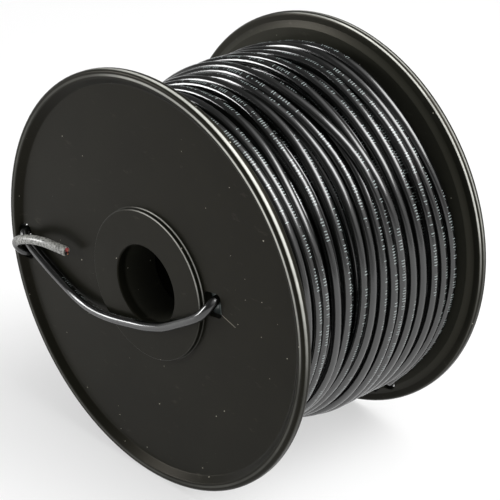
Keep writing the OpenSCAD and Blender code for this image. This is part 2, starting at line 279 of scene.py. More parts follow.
# %% Inner end with its cut jacket
CUT_RINGS = [  # (how far beyond the cut, radius), in millimetres
    (-0.12, 1.9), (-0.03, 1.87), (0.0, 1.8), (0.0, 1.55), (-0.06, 1.5), (-0.35, 1.48)]
cut = np.array(CUT_RINGS) * MM
cut_centres = start_line[-1] + cut[:, :1] * start_way[-1]
start_centres = np.vstack([start_line[:-1], cut_centres])
start_radii = np.concatenate([np.full(len(start_line) - 1, CABLE_R), cut[:, 1]])
times = np.append(np.ones(len(start_line) - 1, int), len(cut))  # the last one holds for all of cut
start_sides, start_ways, start_along = (
    np.repeat(rows, times, 0) for rows in (start_side, start_way, length_along(start_line)))
start_tail = tube("cable_inner_end", start_centres, start_ways, start_sides, start_radii,
                  TAIL_COLUMNS, start_along)
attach(start_tail, "root")
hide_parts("start_tail")
print("faces on the inner end:", len(start_tail.data.polygons))

# %% [markdown]
# ## The outer layer
# The outer layer is one unbroken stretch of cable, nearly seventeen turns long. A perfect helix
# would look like a machined thread, and a real spool never does: the cable wanders, turns crowd
# together, and here and there one crosses its neighbour. So the line is worked out in two steps.
# First comes where each turn lies across the spool, from listed places at its front. Then
# comes its height: a turn that is laid closer than about a diameter beside earlier ones has to
# ride up on them.

# %% Where each turn lies across the spool
LAY_ANGLES = (118, 100, 80, 60, 40, 20, 0, -20, -48)
LAY_PLACES_MM = (  # a row for each turn, with a place for each angle above
    (-42.1, -42.1, -42.0, -41.9, -41.8, -41.8, -41.8, -41.8, -42.0),
    (-37.9, -37.6, -37.3, -37.0, -37.0, -36.8, -36.6, -36.2, -36.6),
    (-31.0, -30.6, -31.0, -31.6, -32.0, -32.0, -32.3, -32.5, -32.6),
    (-24.8, -24.6, -25.3, -26.8, -27.8, -27.6, -27.6, -28.4, -28.6),
    (-19.2, -19.0, -19.7, -21.3, -23.6, -24.2, -24.0, -25.2, -24.2),
    (-13.2, -11.8, -12.8, -15.6, -16.1, -16.4, -16.6, -15.6, -15.8),
    (-9.8, -8.9, -7.9, -8.4, -9.9, -10.9, -11.4, -11.6, -11.6),
    (-6.0, -5.4, -5.7, -3.6, -2.8, -3.7, -5.2, -7.0, -7.8),
    (-2.3, -2.3, -2.4, 0.2, 1.3, 0.4, -2.2, -4.0, -3.6),
    (5.2, 3.8, 4.6, 5.4, 5.9, 4.6, 3.2, 2.3, 2.6),
    (1.3, 0.9, 1.4, 3.4, 7.0, 8.4, 8.3, 7.2, 7.4),
    (12.4, 12.4, 12.2, 11.0, 9.9, 10.9, 12.4, 11.6, 12.2),
    (18.6, 18.8, 18.8, 18.4, 18.2, 18.4, 18.6, 18.0, 18.2),
    (24.0, 24.6, 27.4, 25.5, 24.2, 23.9, 23.6, 23.2, 23.6),
    (28.8, 29.6, 30.6, 31.1, 31.2, 30.8, 30.4, 30.2, 30.2),
    (32.8, 33.0, 34.0, 34.8, 34.9, 35.6, 36.5, 37.0, 36.6),
    (36.8, 36.6, 37.0, 37.6, 39.2, 41.0, 41.8, 42.0, 42.1))
print("turns with chosen places:", len(LAY_PLACES_MM))

# %% The curve through those places
WANDER = 0.3 * MM               # small to and fro that every hand-guided winding has
WANDER_WAVES = ((1.37, 0.7), (2.31, 2.0))  # waves in a turn and phase of its two factors
RINGS_PER_TURN = 96


def eased_through(x, knots, values):
    """Cubic Hermite curve through the values. The slope at a knot is the mean of the slopes on
    both sides, each weighted by the other side's width, so uneven knots stay smooth."""
    width = np.diff(knots)
    rise = np.diff(values) / width
    slope = np.concatenate([[0.0], (rise[:-1] * width[1:] + rise[1:] * width[:-1])
                            / (width[:-1] + width[1:]), [0.0]])
    k = np.clip(np.searchsorted(knots, x, side="right") - 1, 0, len(width) - 1)
    u = (x - knots[k]) / width[k]
    return (values[k] * (1 + 2 * u) * (1 - u) ** 2 + values[k + 1] * u * u * (3 - 2 * u)
            + width[k] * (slope[k] * u * (1 - u) ** 2 - slope[k + 1] * u * u * (1 - u)))


def laid_y(t):
    """Place across the spool after t turns: the curve through the chosen places, plus a slow
    wander; it starts and ends against a flange and never comes nearer to a web than it can."""
    turns, angles = np.meshgrid(np.arange(len(LAY_PLACES_MM)), LAY_ANGLES, indexing="ij")
    knots = (turns + (START_ANGLE - angles) / 360).ravel()
    places = np.array(LAY_PLACES_MM).ravel() * MM
    inside = knots < TURNS
    knots = np.concatenate([[0.0], knots[inside], [TURNS]])
    places = np.concatenate([[-LAY_HALF], places[inside], [LAY_HALF]])
    y = eased_through(t, knots, places)
    y = y + WANDER * wave(t, *WANDER_WAVES[0]) * wave(t, *WANDER_WAVES[1])
    return np.clip(y, -LAY_HALF, LAY_HALF)


wind_t = np.arange(int(TURNS * RINGS_PER_TURN) + 1) / RINGS_PER_TURN
wind_t = np.append(wind_t, TURNS)
wind_angle = np.radians(START_ANGLE - 360 * wind_t)
wind_y = laid_y(wind_t)
print("least and greatest place in mm:", round(wind_y.min() / MM, 1), round(wind_y.max() / MM, 1))


# %% How far each turn rides up on the ones before it
RIDE_D = 0.93 * CABLE_D         # two turns press together this close before one has to ride up
RIDE_LIMIT = 3.4 * MM           # and none rides higher than this over its own layer
RIDE_BACK = 3                   # a turn can lie on any of this many turns before it
EASE_RINGS = 15                 # an odd number of rings over which the ride is averaged


def ridden_radius(t, y, base):
    """For each of the last few turns before a point: that turn's radius plus the square root of
    (reach squared minus the distance across squared). The largest of these and the base radius
    holds. It is worked out turn by turn, because a turn can lie on one that rides itself, and the
    ride is then averaged along the cable with weights in a cosine bell."""
    radius = base.copy()
    n = RINGS_PER_TURN
    for turn in range(1, int(math.ceil(TURNS))):
        here = np.arange(turn * n, min((turn + 1) * n, len(t)))
        for back in range(1, min(turn, RIDE_BACK) + 1):
            below = here - back * n
            across = np.abs(y[here] - y[below])
            lift = np.sqrt(np.clip(RIDE_D ** 2 - across ** 2, 0.0, None))
            ridden = np.where(across < RIDE_D, radius[below] + lift, 0.0)
            radius[here] = np.maximum(radius[here], ridden)
    weights = np.hanning(EASE_RINGS)
    padded = np.pad(radius - base, EASE_RINGS // 2, mode="edge")
    return base + np.convolve(padded, weights / weights.sum(), "valid")


# %% The line of the outer layer
NESTLE = 0.6 * MM               # how far a turn can sink between the turns below it
NESTLE_WAVES = (1.81, 1.0)      # waves in a turn and phase of that depth, which comes and goes
SETTLE_IN = 1.5                 # turns from the start until the full depth is reached
SETTLE_OUT = 0.3                # turns before the end in which nestling and sag die away
SAG = 0.7 * MM                  # towards this angle the winding's far half is so much thicker,
SAG_ANGLE = -48.0               # and so much thinner on the opposite side
core_near = layer_radius(-HALF_TRAVERSE) - CABLE_D - LAY_GAP
settled = smooth((TURNS - wind_t) / SETTLE_OUT)
nestled = NESTLE * (0.5 + 0.5 * wave(wind_t, *NESTLE_WAVES)) * smooth(wind_t / SETTLE_IN) * settled
sagged = SAG * np.cos(wind_angle - math.radians(SAG_ANGLE)) * smooth(wind_y / RISE_W + 0.5) * settled
wind_level = layer_radius(wind_y) - nestled + sagged
wind_base = core_near + (wind_level - core_near) * smooth(wind_t / CLIMB)
wind_r = ridden_radius(wind_t, wind_y, wind_base)
wind_r = np.minimum(wind_r, layer_radius(wind_y) + RIDE_LIMIT)
wind_line = about_axis(wind_r, wind_angle, wind_y)
end_way = np.array([math.sin(math.radians(END_ANGLE)), 0.0, -math.cos(math.radians(END_ANGLE))])
layer_end = wind_line[-1] + end_way * CABLE_D
wind_line = np.vstack([wind_line, layer_end])
print(f"outer layer: {length_along(wind_line)[-1]:.2f} m of cable, highest ride "
      f"{(wind_r - layer_radius(wind_y)).max() / MM:.2f} mm")

# %% The outer layer as one tube
WIND_COLUMNS = 16
wind_way = ways_along(wind_line)
wind_side = outward_sides(wind_line, wind_way)
outer_turns = tube("cable_outer_turns", wind_line, wind_way, wind_side, CABLE_R, WIND_COLUMNS,
                   length_along(wind_line))
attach(outer_turns, "root")
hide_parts("outer_windings")
print("faces on the outer layer:", len(outer_turns.data.polygons))

# %% [markdown]
# ## The cable's outer end
# The last turn leaves the winding, turns down behind the far flange's web, goes out through one
# small hole and back in through the other. It starts exactly where the outer layer stops, with the
# same side direction, so the two meshes meet ring on ring.

# %% Outer end through the far flange
FINISH_ROUTE = [
    (50.4, 42.1, -52), (47.2, 42.3, -55.4), (44.4, 42.8, -58.6), (42.2, 43.8, -61.3),
    (40.9, 45.3, -62.9), (40.2, 47.2, -63.6), (39.4, 49.3, -64.2), (38, 50.8, -65.1),
    (36.2, 51.3, -66), (34.3, 50.7, -67), (32.8, 49, -67.7), (32.3, 46.8, -67.9),
    (32.2, 44, -67.9), (32.1, 41, -68), (32, 38, -68.1), (32, 36, -68.1)]

finish_points = np.vstack([layer_end, layer_end + end_way * CABLE_D, np.array(FINISH_ROUTE) * MM])
finish_line = through(finish_points, TAIL_STEPS)
finish_way = ways_along(finish_line)
finish_side = carried_sides(finish_way, wind_side[-1])
finish_tail = tube("cable_outer_end", finish_line, finish_way, finish_side, CABLE_R, WIND_COLUMNS,
                   length_along(wind_line)[-1] + length_along(finish_line))
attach(finish_tail, "root")
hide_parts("finish_tail")
print(f"outer end: {length_along(finish_line)[-1] / MM:.1f} mm")

# %% [markdown]
# ## The layer below
# Between the outer turns the next layer shows. It was wound the other way across, so its turns
# slant the other way, and it lies close, turn beside turn. Below it only darkness shows, so the
# rest of the cable is one drum whose surface repeats the turns' rounding.

# %% Turns of the layer below
LOWER_PITCH = 4.05 * MM
LOWER_HALF = LAY_HALF + 0.1 * MM    # it lies a little nearer to the webs than the outer layer
LOWER_WANDER = 0.12 * MM
LOWER_WAVES = 1.7               # waves of that wander in a turn
LOWER_DOWN = 1.01 * CABLE_D     # the centre lines lie this far under the outer layer's
LOWER_ANGLE = 100               # where its first turn starts, in degrees
LOWER_RINGS = 72                # in a turn
LOWER_COLUMNS = 10
lower_turns_count = 2 * LOWER_HALF / LOWER_PITCH
lower_t = np.arange(int(lower_turns_count * LOWER_RINGS) + 1) / LOWER_RINGS
lower_y = LOWER_HALF - LOWER_PITCH * lower_t + LOWER_WANDER * wave(lower_t, LOWER_WAVES)
lower_y = np.clip(lower_y, -LOWER_HALF, LOWER_HALF)
lower_r = layer_radius(lower_y) - LOWER_DOWN
lower_line = about_axis(lower_r, np.radians(LOWER_ANGLE - 360 * lower_t), lower_y)
lower_way = ways_along(lower_line)
lower_turns = tube("cable_lower_turns", lower_line, lower_way, outward_sides(lower_line, lower_way),
                   CABLE_R, LOWER_COLUMNS, length_along(lower_line))
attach(lower_turns, "root")
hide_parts("inner_windings")
print(f"layer below: {lower_turns_count:.1f} turns, {length_along(lower_line)[-1]:.2f} m")


# %% The drum of all deeper layers
def turned(name, profile, columns):
    """A closed profile of (radius, y) turned about the Y axis: (r cos a, y, r sin a)."""
    profile = np.asarray(profile, float)
    a = 2 * np.pi * np.arange(columns) / columns
    points = about_axis(profile[:, :1], a, np.repeat(profile[:, 1:], columns, 1)).reshape(-1, 3)
    i, k = np.meshgrid(np.arange(len(profile)), np.arange(columns), indexing="ij")
    i2, k2 = (i + 1) % len(profile), (k + 1) % columns
    faces = np.stack([i * columns + k, i2 * columns + k, i2 * columns + k2, i * columns + k2], -1)
    return add_piece(name, points, faces.reshape(-1, 4).tolist())


DRUM_HALF = LOWER_HALF + 0.6 * CABLE_R  # half its width, before its sides bulge
DRUM_DOWN = 1.5 * CABLE_D       # its top lies this far under the outer layer's centre lines
EDGE_DOWN = 1.55 * CABLE_D      # and the outer edges of its two sides this far
DRUM_BORE = BARREL_R + 0.4 * MM     # its inner radius
TOP_BULGE = 0.25 * MM           # how far each hidden turn rounds out the top
SIDE_BULGE = 0.3 * CABLE_R      # and each layer the sides
SIDE_LAYERS = 9                 # layers that show as rings on the drum's two sides
STEPS_PER_LAYER = 10
DRUM_STEPS = 120
DRUM_COLUMNS = 144
drum_y = np.linspace(-DRUM_HALF, DRUM_HALF, DRUM_STEPS + 1)
top_bulge = TOP_BULGE * np.abs(np.cos(np.pi * drum_y / LOWER_PITCH))
drum_top = np.stack([layer_radius(drum_y) - DRUM_DOWN + top_bulge, drum_y], -1)
side_steps = np.arange(SIDE_LAYERS * STEPS_PER_LAYER + 1)
side_y = DRUM_HALF + SIDE_BULGE * np.abs(np.sin(np.pi * side_steps / STEPS_PER_LAYER))
far_r = np.linspace(layer_radius(LEVEL_AT) - EDGE_DOWN, DRUM_BORE, len(side_steps))
near_r = np.linspace(DRUM_BORE, layer_radius(-LEVEL_AT) - EDGE_DOWN, len(side_steps))
far_side = np.stack([far_r, side_y], -1)
near_side = np.stack([near_r, -side_y], -1)
drum = turned("cable_deep_layers", np.vstack([drum_top, far_side, near_side]), DRUM_COLUMNS)
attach(drum, "root")
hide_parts("inner_windings")
print("drum box in mm:", [round(v / MM, 1) for v in drum.dimensions])

# %% [markdown]
# ## Copper at the cut end
# Each conductor is a strand of seven bare copper wires: one in the middle and six round it, with a
# slight twist. They are short tubes, all in one mesh, standing where the CAD model's two copper
# rods stand.

# %% Seven wires in each conductor
CONDUCTOR_PITCH = 1.6 * MM      # from the middle of one conductor to the other
CONDUCTOR_TURN = 20             # degrees from one conductor's wires to the other's
WIRE_R = 0.148 * MM
WIRES_ROUND = 6                 # wires round the middle one
WIRE_RING = 2.03 * WIRE_R       # from the middle wire's centre to that of each outer one
WIRE_TWIST = 14                 # degrees that they turn in each millimetre
WIRE_PLACES_MM = (-0.3, 0.2, 0.5, 0.78, 0.86, 0.9)  # rings of a wire, out from the jacket's cut
WIRE_SHARES = (1, 1, 1, 1, 0.8, 0.35)   # radius of each of those rings over WIRE_R: a domed end
WIRE_COLUMNS = 10
cut_way = start_way[-1]
cut_end = start_line[-1]
# The CAD model turns its rods from upright by these two angles, so the wires turn with them
tilt = math.acos(cut_way[2])
spin = math.atan2(cut_way[1], cut_way[0])
cut_right = np.array([math.cos(tilt) * math.cos(spin), math.cos(tilt) * math.sin(spin),
                      -math.sin(tilt)])
cut_other = np.cross(cut_way, cut_right)


def wires():
    """Fourteen short tubes with domed ends, as one list of points and faces. A wire's centre is
    the cut + place x way + (ring cos turn) x right + (ring sin turn) x other, where turn grows
    with the place, and the middle wire has no ring."""
    out = np.array(WIRE_PLACES_MM)
    rings = len(out)
    quads, _, _ = ring_grid(rings, WIRE_COLUMNS)
    one_wire = quads.tolist() + end_faces(rings, WIRE_COLUMNS)
    right, other = (np.broadcast_to(v, (rings, 3)) for v in (cut_right, cut_other))
    points, faces = [], []
    for conductor in (-0.5, 0.5):
        for wire in range(WIRES_ROUND + 1):
            turn = np.radians(360 / WIRES_ROUND * wire + WIRE_TWIST * out + CONDUCTOR_TURN * conductor)
            far = WIRE_RING if wire < WIRES_ROUND else 0.0
            middle = (cut_end + out[:, None] * MM * cut_way
                      + (conductor * CONDUCTOR_PITCH + far * np.cos(turn))[:, None] * cut_right
                      + (far * np.sin(turn))[:, None] * cut_other)
            start = sum(len(p) for p in points)
            points.append(tube_points(middle, right, other, np.array(WIRE_SHARES) * WIRE_R,
                                      WIRE_COLUMNS))
            faces += [[start + corner for corner in face] for face in one_wire]
    return np.vstack(points), faces


copper_wires = add_piece("copper_wires", *wires())
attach(copper_wires, "root")
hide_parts("copper_strands")
print(f"copper wires: {2 * (WIRES_ROUND + 1)}, each {2 * WIRE_R / MM:.2f} mm thick")

# %% [markdown]

# %% [markdown]
# ## Finishes
# Every material starts from what the real one is. Colours are written as the hex values a paint
# program shows, and one function turns them into the linear values that light is computed in.
# Patterns read Object coordinates in metres, so a scale is simply one divided by a real size.


# %% Colours, nodes and empty materials
def colour(hex_text):
    """sRGB hex to linear: value / 12.92 below 0.04045, else ((value + 0.055) / 1.055) ^ 2.4."""
    v = np.array([int(hex_text[i:i + 2], 16) / 255 for i in (1, 3, 5)])
    v = np.where(v <= 0.04045, v / 12.92, ((v + 0.055) / 1.055) ** 2.4)
    return (*v.tolist(), 1.0)


def node(tree, kind, settings=None, **links):
    """Adds one node of the type "ShaderNode" + kind. settings are its properties or input values.
    links are inputs fed by an output socket, or by a node, which stands for its first output. A
    link names its input, or gives its number as in0, in1, ..."""
    made = tree.nodes.new("ShaderNode" + kind)
    for key, value in (settings or {}).items():
        if isinstance(key, str) and hasattr(made, key):
            setattr(made, key, value)
        else:
            made.inputs[key].default_value = value
    for key, source in links.items():
        numbered = key.startswith("in") and key[2:].isdigit()
        socket = source.outputs[0] if hasattr(source, "outputs") else source
        tree.links.new(made.inputs[int(key[2:]) if numbered else key], socket)
    return made


def new_material(name):
    """An empty material with its output and one Principled shader."""
    material = bpy.data.materials.new(name)
    material.use_nodes = True
    tree = material.node_tree
    tree.nodes.clear()
    shader = node(tree, "BsdfPrincipled")
    node(tree, "OutputMaterial", Surface=shader)
    return material, tree, shader


# %% [markdown]
# ### Black moulded polystyrene
# Spool flanges are injection moulded from black high-impact polystyrene, in a steel tool with a
# fine satin finish. It is a warm black with soft, wide reflections. The inner sides are painted a
# little lighter, as painted light on faces that the lamps reach little. The edges are painted pale
# as a painted highlight, strongest on the side that faces the large softbox, and they are smoother
# there. The flat web carries dust, rub marks and one scratch. The flanges are bodies of revolution,
# so a point's radius and its place along the axis are enough to find every edge.

# %% Flange plastic: base and grain
GRAIN_SIZE = 0.5 * MM           # coarser than the real satin, which is too fine to show
GRAIN_DEPTH = 0.05 * MM
CLOUD_SIZE = 22 * MM            # the black varies over about this distance
flange_plastic, tree, shader = new_material("polystyrene_black_moulded_satin")
where = node(tree, "TexCoord").outputs["Object"]
grain = node(tree, "TexNoise", {"Scale": 1 / GRAIN_SIZE, "Detail": 2.0}, Vector=where)
cloud = node(tree, "TexNoise", {"Scale": 1 / CLOUD_SIZE, "Detail": 3.0}, Vector=where)
tone = node(tree, "Mix", {"data_type": "RGBA", 6: colour("#0f0f0b"), 7: colour("#1b1b15")},
            Factor=cloud)
shader.inputs["IOR"].default_value = 1.5
shader.inputs["Specular IOR Level"].default_value = 0.1
shader.inputs["Specular Tint"].default_value = colour("#fff3dd")
bump = node(tree, "Bump", {"Strength": 0.05, "Distance": GRAIN_DEPTH}, Height=grain)
tree.links.new(shader.inputs["Normal"], bump.outputs["Normal"])
print("grain", GRAIN_SIZE / MM, "mm, clouds", CLOUD_SIZE / MM, "mm")

# %% Flange plastic: inner sides painted lighter, as painted light
PAINTED_LIGHT_FROM = 46.0 * MM         # distance from the middle of the spool where the painted light begins
PAINTED_LIGHT_TO = 44.8 * MM
axes = node(tree, "SeparateXYZ", Vector=where)
aside = node(tree, "Math", {"operation": "ABSOLUTE"}, in0=axes.outputs["Y"])
inner = node(tree, "MapRange", {"From Min": PAINTED_LIGHT_FROM, "From Max": PAINTED_LIGHT_TO}, Value=aside)
# Painted light: the inner sides are painted lighter than the outer ones.
tone = node(tree, "Mix", {"data_type": "RGBA", 7: colour("#30302a")}, Factor=inner,
            in6=tone.outputs[2])
# The painted light covers the inner sides within this distance.
print("inner sides coarser within", PAINTED_LIGHT_FROM / MM, "mm of the middle")

# %% Flange plastic: painted highlights on the edges
EDGE_HIGHLIGHTS_MM = (  # radius, place along the axis, reach, strength
    (29.6, -49.15, 0.34, 0.7), (29.95, -47.3, 0.3, 0.7), (80.3, -49.5, 0.6, 1.0),
    (82.5, -48.3, 0.75, 0.8), (29.6, 49.15, 0.34, 0.7), (80.3, 49.5, 0.6, 1.0),
    (82.1, 45.9, 0.45, 1.0), (82.5, 47.5, 0.5, 0.4))
HIGHLIGHT_CORE = 0.4                  # share of the reach within which an edge's painted highlight is full
flat = node(tree, "CombineXYZ", X=axes.outputs["X"], Z=axes.outputs["Z"])
radius = node(tree, "VectorMath", {"operation": "LENGTH"}, in0=flat)
section = node(tree, "CombineXYZ", X=radius.outputs["Value"], Y=axes.outputs["Y"])
highlighted = None
for edge_r, edge_y, reach, strength in EDGE_HIGHLIGHTS_MM:
    gap = node(tree, "VectorMath", {"operation": "DISTANCE", 1: (edge_r * MM, edge_y * MM, 0.0)},
               in0=section)
    near = node(tree, "MapRange",
                {"From Min": reach * MM, "From Max": HIGHLIGHT_CORE * reach * MM, "To Max": strength},
                Value=gap.outputs["Value"])
    highlighted = near if highlighted is None else node(
        tree, "Math", {"operation": "MAXIMUM"}, in0=highlighted, in1=near)
print("rubbed edges:", len(EDGE_HIGHLIGHTS_MM))

# %% Flange plastic: the painted highlight in patches, strongest on the side facing the softbox
LIT_SIDE = math.radians(52)     # the edges' painted highlight is strongest on this side, which faces the softbox
HIGHLIGHT_ELSEWHERE = 0.1             # share of it that is left on the other sides
HIGHLIGHT_PATCHY = 0.6                # and share left between patches
SATIN_ROUGHNESS = 0.34
RUBBED_ROUGHNESS = 0.2
patchy = node(tree, "MapRange", {"From Min": 0.35, "From Max": 0.6, "To Min": HIGHLIGHT_PATCHY},
              Value=cloud)
outward = node(tree, "VectorMath", {"operation": "NORMALIZE"}, in0=flat)
facing = node(tree, "VectorMath",
              {"operation": "DOT_PRODUCT", 1: (math.cos(LIT_SIDE), 0.0, math.sin(LIT_SIDE))},
              in0=outward)
lit_side_share = node(tree, "MapRange",
            {"interpolation_type": "SMOOTHSTEP", "From Min": 0.5, "From Max": 0.9,
             "To Min": HIGHLIGHT_ELSEWHERE}, Value=facing.outputs["Value"])
highlight_and_rub = highlighted
for share in (patchy, lit_side_share):
    highlight_and_rub = node(tree, "Math", {"operation": "MULTIPLY"}, in0=highlight_and_rub, in1=share)
# Painted highlight: the edges are painted pale, most on the side that the softbox lights.
painted_edge_highlight = node(tree, "Mix", {"data_type": "RGBA", 7: colour("#dcdcd4")}, in0=highlight_and_rub,
                 in6=tone.outputs[2])
satin = node(tree, "MapRange", {"To Min": SATIN_ROUGHNESS, "To Max": RUBBED_ROUGHNESS}, Value=highlight_and_rub)
tree.links.new(shader.inputs["Roughness"], satin.outputs["Result"])
print("roughness from", RUBBED_ROUGHNESS, "to", SATIN_ROUGHNESS)

# %% Flange plastic: dust and rub marks
DUST_SPACING = 4 * MM
DUST_SIZE = 0.075               # radius of the largest speck, as a share of that spacing
DUST_RARITY = 2.5               # the higher, the fewer specks are nearly that large
SMEAR_LONG = 7 * MM             # rub marks are smears of about this length
SMEAR_WIDE = 3 * MM             # and this width,
SMEAR_TURN = 0.6                # turned by so many radians
specks = node(tree, "TexVoronoi", {"Scale": 1 / DUST_SPACING}, Vector=where)
luck = node(tree, "SeparateColor", Color=specks.outputs["Color"])
luck = node(tree, "Math", {"operation": "POWER", 1: DUST_RARITY}, in0=luck.outputs["Red"])
size = node(tree, "Math", {"operation": "MULTIPLY", 1: DUST_SIZE}, in0=luck)
dust = node(tree, "Math", {"operation": "LESS_THAN"}, in0=specks.outputs["Distance"], in1=size)
rub_space = node(tree, "Mapping",
                 {"Rotation": (0.0, SMEAR_TURN, 0.0),
                  "Scale": (1 / SMEAR_LONG, 1 / SMEAR_LONG, 1 / SMEAR_WIDE)}, Vector=where)
marks = node(tree, "TexNoise", {"Scale": 1.0, "Detail": 4.0, "Roughness": 0.6}, Vector=rub_space)
marks = node(tree, "MapRange", {"From Min": 0.64, "From Max": 0.8, "To Max": 0.06}, Value=marks)
pale = node(tree, "Math", {"operation": "MAXIMUM"}, in0=dust, in1=marks)
print("dust specks up to", round(2 * DUST_SIZE * DUST_SPACING / MM, 2), "mm across")

# %% Flange plastic: a scratch
SCRATCH_START_MM = (38.5, -47.1, 2.0)
SCRATCH_TURN = math.radians(18.7)
SCRATCH_LENGTH = 8 * MM
SCRATCH_HALF = 0.14 * MM        # half its width
SCRATCH_REACH = 1 * MM          # how far from its plane a surface may be and still show it
SCRATCH_STRENGTH = 0.5
scratch_space = node(tree, "Mapping",
                     {"vector_type": "TEXTURE", "Location": tuple(v * MM for v in SCRATCH_START_MM),
                      "Rotation": (0.0, SCRATCH_TURN, 0.0)}, Vector=where)
scratch_axes = node(tree, "SeparateXYZ", Vector=scratch_space)
scratch = None
for axis, middle, half in (("X", SCRATCH_LENGTH / 2, SCRATCH_LENGTH / 2),
                           ("Y", 0.0, SCRATCH_REACH), ("Z", 0.0, SCRATCH_HALF)):
    inside = node(tree, "Math", {"operation": "COMPARE", 1: middle, 2: half},
                  in0=scratch_axes.outputs[axis])
    scratch = inside if scratch is None else node(
        tree, "Math", {"operation": "MULTIPLY"}, in0=scratch, in1=inside)
scratch = node(tree, "Math", {"operation": "MULTIPLY", 1: SCRATCH_STRENGTH}, in0=scratch)
pale = node(tree, "Math", {"operation": "MAXIMUM"}, in0=pale, in1=scratch)
dusted = node(tree, "Mix", {"data_type": "RGBA", 7: colour("#b4b0a2")}, in0=pale,
              in6=painted_edge_highlight.outputs[2])
tree.links.new(shader.inputs["Base Color"], dusted.outputs[2])
print("scratch", SCRATCH_LENGTH / MM, "mm long; flange plastic made")

# %% [markdown]
# ### Black PVC jacket
# The jacket is soft PVC pushed through a round die. The die leaves faint streaks along the cable,
# and the surface is semi-gloss, so every turn carries one bright line under a lamp. A printer
# wheel beside the extruder puts white ink on it. What it prints here is plain: rows of short
# strokes that mark off the length.

# %% Cable jacket
STREAK_LENGTH = 80 * MM
STREAKS_ROUND = 22.0            # about so many of them side by side round the cable
STREAK_DEPTH = 0.05 * MM
JACKET_ROUGHNESS = (0.08, 0.22)     # from streak to streak
jacket_pvc, tree, shader = new_material("pvc_black_extruded_semi_gloss")
uv = node(tree, "UVMap", {"uv_map": "along_and_round"}).outputs["UV"]
streak_space = node(tree, "Mapping", {"Scale": (1 / STREAK_LENGTH, STREAKS_ROUND, 1.0)}, Vector=uv)
streaks = node(tree, "TexNoise", {"Scale": 1.0, "Detail": 2.0}, Vector=streak_space)
bump = node(tree, "Bump", {"Strength": 0.35, "Distance": STREAK_DEPTH}, Height=streaks)
gloss = node(tree, "MapRange", {"To Min": JACKET_ROUGHNESS[0], "To Max": JACKET_ROUGHNESS[1]},
             Value=streaks)
tree.links.new(shader.inputs["Roughness"], gloss.outputs["Result"])
tree.links.new(shader.inputs["Normal"], bump.outputs["Normal"])
shader.inputs["IOR"].default_value = 1.53
shader.inputs["Specular IOR Level"].default_value = 0.9
print("streaks round the cable:", STREAKS_ROUND)

# %% Printed length marks
STROKE_STEP = 1.1 * MM          # from one stroke to the next
PRINT_PARTS = (  # lines, groups and strokes: how far from one to the next, and the share printed
    (160 * MM, 0.62), (11.7 * MM, 0.76), (STROKE_STEP, 0.3))
DRIFT_LENGTH = 1300 * MM        # the printed line goes to and fro round the cable over this length
DRIFT_TURN = 0.04               # by this share of a turn to either side
jacket_axes = node(tree, "SeparateXYZ", Vector=uv)
ink = None
for every, share in PRINT_PARTS:
    part = node(tree, "Math", {"operation": "DIVIDE", 1: every}, in0=jacket_axes.outputs["X"])
    part = node(tree, "Math", {"operation": "FRACT"}, in0=part)
    part = node(tree, "Math", {"operation": "LESS_THAN", 1: share}, in0=part)
    ink = part if ink is None else node(tree, "Math", {"operation": "MULTIPLY"}, in0=ink, in1=part)
drift = node(tree, "Math", {"operation": "MULTIPLY", 1: 2 * math.pi / DRIFT_LENGTH},
             in0=jacket_axes.outputs["X"])
drift = node(tree, "Math", {"operation": "SINE"}, in0=drift)
drift = node(tree, "Math", {"operation": "MULTIPLY_ADD", 1: DRIFT_TURN, 2: 0.5}, in0=drift)
from_line = node(tree, "Math", {"operation": "ADD"}, in0=jacket_axes.outputs["Y"], in1=drift)
from_line = node(tree, "Math", {"operation": "FRACT"}, in0=from_line)
print("printed line repeats every", round(PRINT_PARTS[0][0] / MM), "mm")

# %% Strokes of uneven height
STROKE_HIGH = 1.5 * MM          # greatest height, measured round the cable
NO_STROKE = 0.1                 # share of the strokes that are missing
LOW_STROKE = 0.5                # share that are missing or lower than the rest
which = node(tree, "Math", {"operation": "DIVIDE", 1: STROKE_STEP}, in0=jacket_axes.outputs["X"])
which = node(tree, "Math", {"operation": "FLOOR"}, in0=which)
chance = node(tree, "TexWhiteNoise", {"noise_dimensions": "1D"}, W=which)
half_high = node(tree, "MapRange",
                 {"From Min": NO_STROKE, "From Max": LOW_STROKE,
                  "To Max": STROKE_HIGH / 2 / (2 * math.pi * CABLE_R)},
                 Value=chance.outputs["Value"])
in_line = node(tree, "Math", {"operation": "COMPARE", 1: 0.5}, in0=from_line, in2=half_high)
ink = node(tree, "Math", {"operation": "MULTIPLY"}, in0=ink, in1=in_line)
printed = node(tree, "Mix", {"data_type": "RGBA", 6: colour("#0b0c0b"), 7: colour("#828c8b")},
               in0=ink)
tree.links.new(shader.inputs["Base Color"], printed.outputs[2])
print("jacket made; strokes every", STROKE_STEP / MM, "mm")

# %% [markdown]
# ### Pale end of the tied cable
# The last stretch was pulled through two small holes and bent back hard. It is painted pale in
# patches, as a painted highlight of the bright light on it, and it is rougher. It is the same
# jacket with a pale, rough layer that begins a measured way along the cable, so a copy of the
# material gets a few more nodes.

